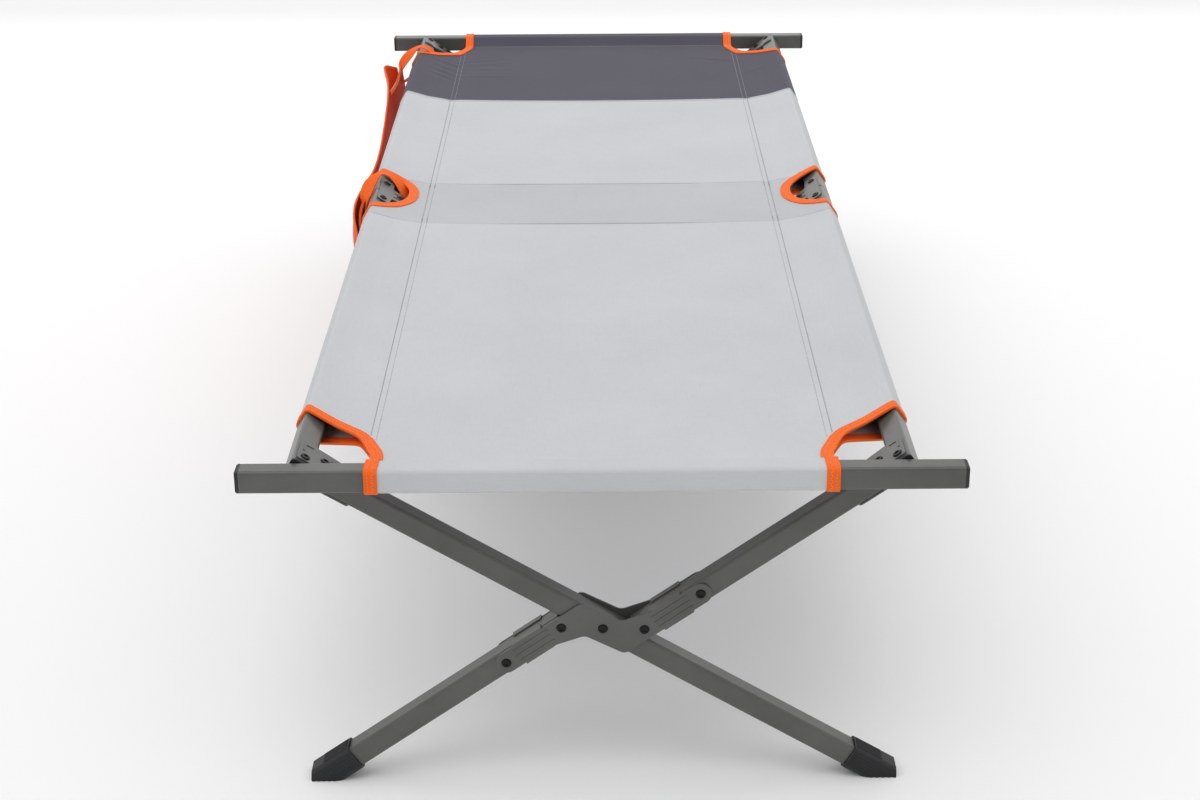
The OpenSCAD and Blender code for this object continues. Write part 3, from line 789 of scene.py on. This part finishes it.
def make_deck_stitching():
    """Double rows along both sides, single rows at the double band, the bar sleeves and the head band."""
    sides = [s * (x - 1 * MM) for s in (-1, 1) for x in SIDE_ROWS]
    rows = [panel_line(x, -INNER_Y, INNER_Y) for x in sides]
    rows += [cross_line(y, RAIL_X + 6 * MM) for y in DOUBLE_BAND]
    rows += [cross_line(s * SLEEVE_ROW, SEAM_X - 4 * MM) for s in (-1, 1)]
    rows.append(cross_line(SEAM_Y + 5 * MM, RAIL_X + 16 * MM))
    sewn = [stitches(rows, 3.4 * MM, CLOTH / 2 + 0.15 * MM, 0.52 * MM)]
    tacks = []
    for x in sides:
        for y in (DOUBLE_BAND[0] + 15 * MM, DOUBLE_BAND[1] - 15 * MM):
            tacks.append(panel_line(x, y - 7 * MM, y + 7 * MM))
    sewn.append(stitches(tacks, 0.9 * MM, CLOTH / 2 + 0.3 * MM, 0.4 * MM, zigzag=1.2 * MM))
    return hang_between_rails(thread("deck_stitching", sewn, GREY_THREAD))


def make_band_seam():
    """The folded edge of the light cloth, where the head band is sewn to it."""
    bm = deck_grid(SEAM_Y - 4 * MM, SEAM_Y + 1.5 * MM, False, False)
    obj = thicken(make_object("band_seam", bm, DECK), CLOTH + 1.2 * MM)
    return hang_between_rails(obj)


tape, tape_stitching, deck_stitching, band_seam = (
    make_bindings(), make_tape_stitching(), make_deck_stitching(), make_band_seam())
cloth_piece("deck_sheet", -INNER_Y, SEAM_Y, True, False, DECK, "deck")
cloth_piece("head_band_sheet", SEAM_Y, INNER_Y, False, True, BAND, "head_band_cloth")

# ------------------------------------------------------------ pouch and its straps

POUCH_LOW, POUCH_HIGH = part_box("pouch")
POUCH_BOTTOM = POUCH_LOW[2] + 2 * MM
POUCH_NEAR = POUCH_HIGH[0]
POUCH_CLOTH = 1.1 * MM
MOUTH_SHUT, HEAD_MOUTH, FOOT_MOUTH = 2.8 * MM, 26 * MM, 9 * MM
FOOT_DROOP, HEAD_DROOP, FOOT_RISE, END_RISE = 38 * MM, 9 * MM, 28 * MM, 14 * MM
HEM_SHARE = 0.075
DEPTH_SHARES = (0, 0.03, 0.06, HEM_SHARE, 0.12, 0.2, 0.3, 0.42, 0.55, 0.68, 0.8, 0.9, 0.97, 1)
# The outer rim seen from above, as (y, distance from the middle plane) in millimetres
OUTER_RIM = [
    (-88, 341), (-62, 348), (-25, 355), (30, 356), (100, 352), (190, 346), (300, 347), (400, 351), (520, 357),
    (640, 364), (730, 372), (795, 382), (826, 387), (844, 385), (855, 378), (862, 367),
]
# Where the mouth opens, as the y of its start, its widest place and its end
HEAD_LOOP = (660 * MM, 822 * MM, 863 * MM)
FOOT_LOOP = (-88 * MM, 10 * MM, 130 * MM)


def swell(y, start, peak, end):
    """A teardrop: rises from 0 at the start to 1 at the peak and falls, rounded, to 0 at the end."""
    if y <= start or y >= end:
        return 0.0
    if y < peak:
        return ((y - start) / (peak - start)) ** 0.85
    return math.sqrt(max(0.0, 1 - ((y - peak) / (end - peak)) ** 2))


def pouch_stations():
    """Places along the pouch: y, and how far out its outer and its inner rim are."""
    for y, far in spline([(y * MM, x * MM) for y, x in OUTER_RIM], 14):
        mouth = MOUTH_SHUT
        mouth += HEAD_MOUTH * swell(y, *HEAD_LOOP) + FOOT_MOUTH * swell(y, *FOOT_LOOP)
        near = max(abs(POUCH_NEAR) + 0.5 * MM, far - mouth)
        yield y, max(far, near + MOUTH_SHUT), near


def crease(y, depth, seed, size, height):
    """Sideways push of the wall at a share of its depth, none at the rim and near the bottom."""
    return height * float(wave(y, depth * 0.11, seed, size)) * math.sin(math.pi * min(1, depth * 1.4))


def pouch_section(y, far, near):
    """Points from the outer rim down round the bottom and up to the inner rim, as (x, z, depth share)."""
    middle = max(0.0, 1 - abs((y - 0.385) / 0.48) ** 6)
    droop = FOOT_DROOP * max(0.0, 1 - (y - FOOT_LOOP[0]) / (100 * MM)) ** 2
    droop += HEAD_DROOP * max(0.0, (y - 838 * MM) / (24 * MM)) ** 2
    rim_z = RAIL_Z - 9 * MM - 5 * MM * math.sin(math.pi * min(1, max(0, (y - 0.05) / 0.8))) - droop
    foot = min(1.0, max(0.0, (y - FOOT_LOOP[0]) / (150 * MM)))
    bottom = POUCH_BOTTOM + END_RISE * (1 - middle) + FOOT_RISE * (1 - foot) ** 2
    floor_x, floor_half = abs(POUCH_NEAR) + 10 * MM, (1 + 6 * middle) * MM
    down = []
    for t in DEPTH_SHARES:
        belly = 4 * MM * middle * math.sin(math.pi * t)
        x = far + (floor_x + floor_half - far) * t ** 1.3 + belly + crease(y, t, 5, 0.11, 1.6 * MM)
        down.append((x, rim_z + (bottom - rim_z) * t, t))
    up = []
    for t in DEPTH_SHARES[::-1]:
        x = near + (floor_x - floor_half - near) * t ** 1.3 + crease(y, t, 8, 0.13, 1.3 * MM)
        up.append((max(x, abs(POUCH_NEAR) - 1 * MM), rim_z + 1.5 * MM * (1 - t) + (bottom - rim_z) * t, t))
    return down + up


def pouch_mesh(name, deepest, material, thickness):
    """The pouch's wall down to a share of its depth: all of it, or only the hem.

    The hem skips the cot side between the two loops, and the whole wall's cot side gets a darker red copy of the
    cloth: painted shade.
    """
    bm = bmesh.new()
    rows = []
    for y, far, near in pouch_stations():
        rows.append([(bm.verts.new((-x, y, z)), t) for x, z, t in pouch_section(y, far, near)])
    for a, b in zip(rows, rows[1:]):
        y = a[0][0].co.y
        for k in range(len(a) - 1):
            inner = k >= len(a) // 2
            if deepest < 1 and inner and FOOT_LOOP[2] < y < HEAD_LOOP[0]:
                continue
            if max(a[k][1], a[k + 1][1]) <= deepest:
                bm.faces.new((a[k][0], b[k][0], b[k + 1][0], a[k + 1][0])).material_index = int(inner)
    bmesh.ops.delete(bm, geom=[v for v in bm.verts if not v.link_faces], context="VERTS")
    obj = make_object(name, bm, material)
    # The cot-side faces (material index 1) take the darker red cloth: painted shade.
    obj.data.materials.append(SHADE_WALL_CLOTH if deepest == 1 else material)
    return thicken(obj, thickness)


def hem_line():
    """The sewing line of the hem, on the outer wall."""
    line = []
    for y, far, near in pouch_stations():
        x, z, _ = pouch_section(y, far, near)[2]
        line.append((np.array([-x, y, z]), np.array([-1.0, 0, 0])))
    return line


def strap_frames(route):
    """Points along a route of (point in millimetres, direction across), each with its across and outward."""
    points = spline([[v * MM for v in p] for p, _ in route], 8)
    across = spline([d for _, d in route], 8)
    for i, p in enumerate(points):
        along = Vector(points[min(i + 1, len(points) - 1)] - points[max(i - 1, 0)]).normalized()
        side = Vector(across[i])
        side = (side - along * side.dot(along)).normalized()
        yield Vector(p), side, side.cross(along)


def ribbon(name, route, width, thickness, material):
    """A webbing strap along a route, slightly crowned across its width."""
    shares = (-0.5, -0.3, 0.0, 0.3, 0.5)
    bm = bmesh.new()
    rows = []
    for p, side, out in strap_frames(route):
        crown = out * 0.5 * MM
        rows.append([bm.verts.new(p + side * width * t + crown * (1 - 4 * t * t)) for t in shares])
    for a, b in zip(rows, rows[1:]):
        for k in range(len(a) - 1):
            bm.faces.new((a[k], a[k + 1], b[k + 1], b[k]))
    return thicken(make_object(name, bm, material), thickness)


def strap_edges(route, width, thickness):
    """Stitches just inside a strap's two long edges, on its outer side."""
    lines = [[], []]
    for p, side, out in strap_frames(route):
        for line, sign in zip(lines, (-1, 1)):
            line.append((np.array(p + side * sign * (width / 2 - 2 * MM)), np.array(out)))
    return stitches(lines, 2.8 * MM, thickness / 2 + 0.35 * MM, 0.3 * MM)


FLAT = (0, 1, 0)
TURNED = (-0.5, 0.8, 0.35)
# Routes round the left rail: from the pouch over the ridge, round below and back
HEAD_STRAP = [
    ((-359, 830, 350), (0, 1, 0.1)), ((-358, 832, 364), (-0.2, 1, 0.2)), ((-354, 835, 378), TURNED),
    ((-343, 840, 392), TURNED), ((-325, 847, 405), FLAT), ((-306, 850, 400), (0.3, 1, 0)),
    ((-296, 850, 386), FLAT), ((-296, 849, 373), FLAT), ((-306, 846, 362), FLAT), ((-322, 841, 358), FLAT),
    ((-338, 836, 353), FLAT), ((-352, 832, 345), FLAT), ((-357, 830, 338), FLAT),
]
MIDDLE_STRAP = [
    ((-343, 8, 348), (0, 1, 0.1)), ((-343, 14, 364), (-0.2, 1, 0.2)), ((-342, 24, 380), TURNED),
    ((-336, 40, 394), TURNED), ((-322, 52, 405), (-0.1, 1, 0)), ((-306, 50, 403), (0.3, 1, 0)),
    ((-294, 42, 394), (0.55, 0.85, 0)), ((-285, 34, 380), (0.6, 0.8, 0)), ((-281, 30, 364), (0.5, 0.9, 0)),
    ((-288, 29, 348), FLAT), ((-304, 31, 339), FLAT), ((-322, 29, 342), FLAT), ((-336, 22, 345), FLAT),
    ((-342, 14, 340), FLAT),
]
STRAP_WIDTH = 20 * MM
STRAP_THICK = 1.5 * MM


def make_pouch():
    wall = pouch_mesh("pouch_shell", 1, ORANGE, POUCH_CLOTH)
    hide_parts("pouch")
    pieces = [wall, pouch_mesh("pouch_hem", HEM_SHARE, HEM, POUCH_CLOTH + 1.3 * MM)]
    edges = []
    for name, route in (("head", HEAD_STRAP), ("middle", MIDDLE_STRAP)):
        strap = ribbon(f"pouch_strap_{name}", route, STRAP_WIDTH, STRAP_THICK, WEBBING)
        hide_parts("pouch_straps")
        pieces.append(strap)
        edges.append(strap_edges(route, STRAP_WIDTH, STRAP_THICK))
    hem = stitches([hem_line()], 3.2 * MM, POUCH_CLOTH / 2 + 0.75 * MM, 0.32 * MM)
    pieces.append(thread("pouch_stitching", [hem, *edges], ORANGE_THREAD))
    area = area_of(wall)
    for piece in pieces:
        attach(piece, STRAIGHT_FRAME)
    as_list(pieces[1:])


make_pouch()

for bounds in (cad_bounds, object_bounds()):
    json.dumps([list(v) for v in bounds]) + "\n"
